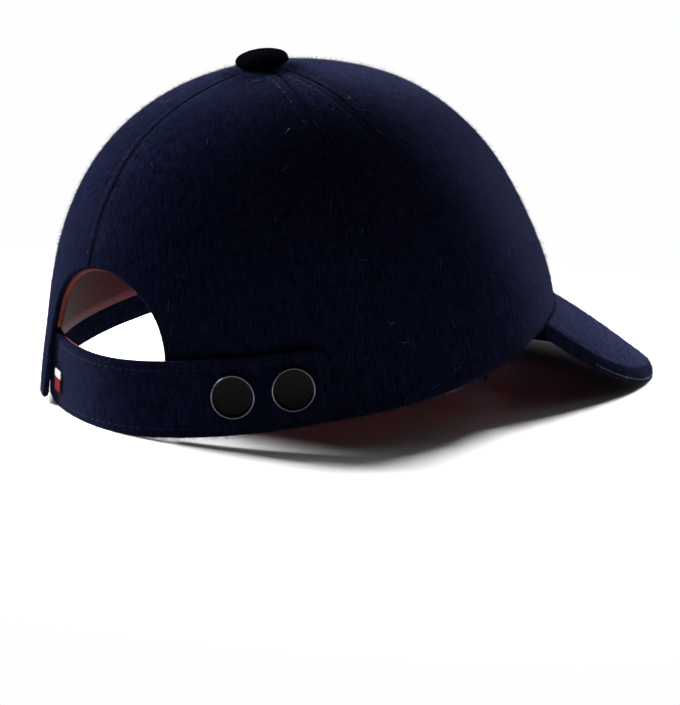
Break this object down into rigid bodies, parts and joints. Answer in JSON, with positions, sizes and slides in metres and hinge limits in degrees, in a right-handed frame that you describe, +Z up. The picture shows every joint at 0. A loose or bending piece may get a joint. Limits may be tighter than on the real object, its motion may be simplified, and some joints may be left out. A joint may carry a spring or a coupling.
{
  "type": "baseball cap",
  "caption": "Wool baseball cap with a panelled crown, a curved peak, and a press stud strap across an arched opening at the back.",
  "frame": {"origin": "on the table, under the middle of the cap's box as it rests", "axes": "+Z up, -Y towards the tip of the peak, -X towards the wearer's right"},
  "size_m": [0.17, 0.2738, 0.1297],
  "materials": {
    "wool": "dark navy brushed wool",
    "button_wool": "blackish wool over a button form",
    "red_lining": "dark red smooth lining cloth",
    "pale_piping": "light red piping cord",
    "black_enamel": "glossy black enamelled press stud cap",
    "woven_tab": "white and red woven ribbon",
    "black_tape": "black woven tape"
  },
  "bodies": {
    "root": {"crown_front_left": "wool", "crown_front_right": "wool", "crown_side_left": "wool", "crown_side_right": "wool", "crown_back_left": "wool", "crown_back_right": "wool", "peak": "wool", "button": "button_wool", "strap": "wool", "strap_lining": "red_lining", "snap_inner": "black_enamel", "snap_outer": "black_enamel", "lining": "red_lining", "lining_piping": "pale_piping", "side_tab": "woven_tab", "tape_end": "black_tape"}
  },
  "joints": []
}
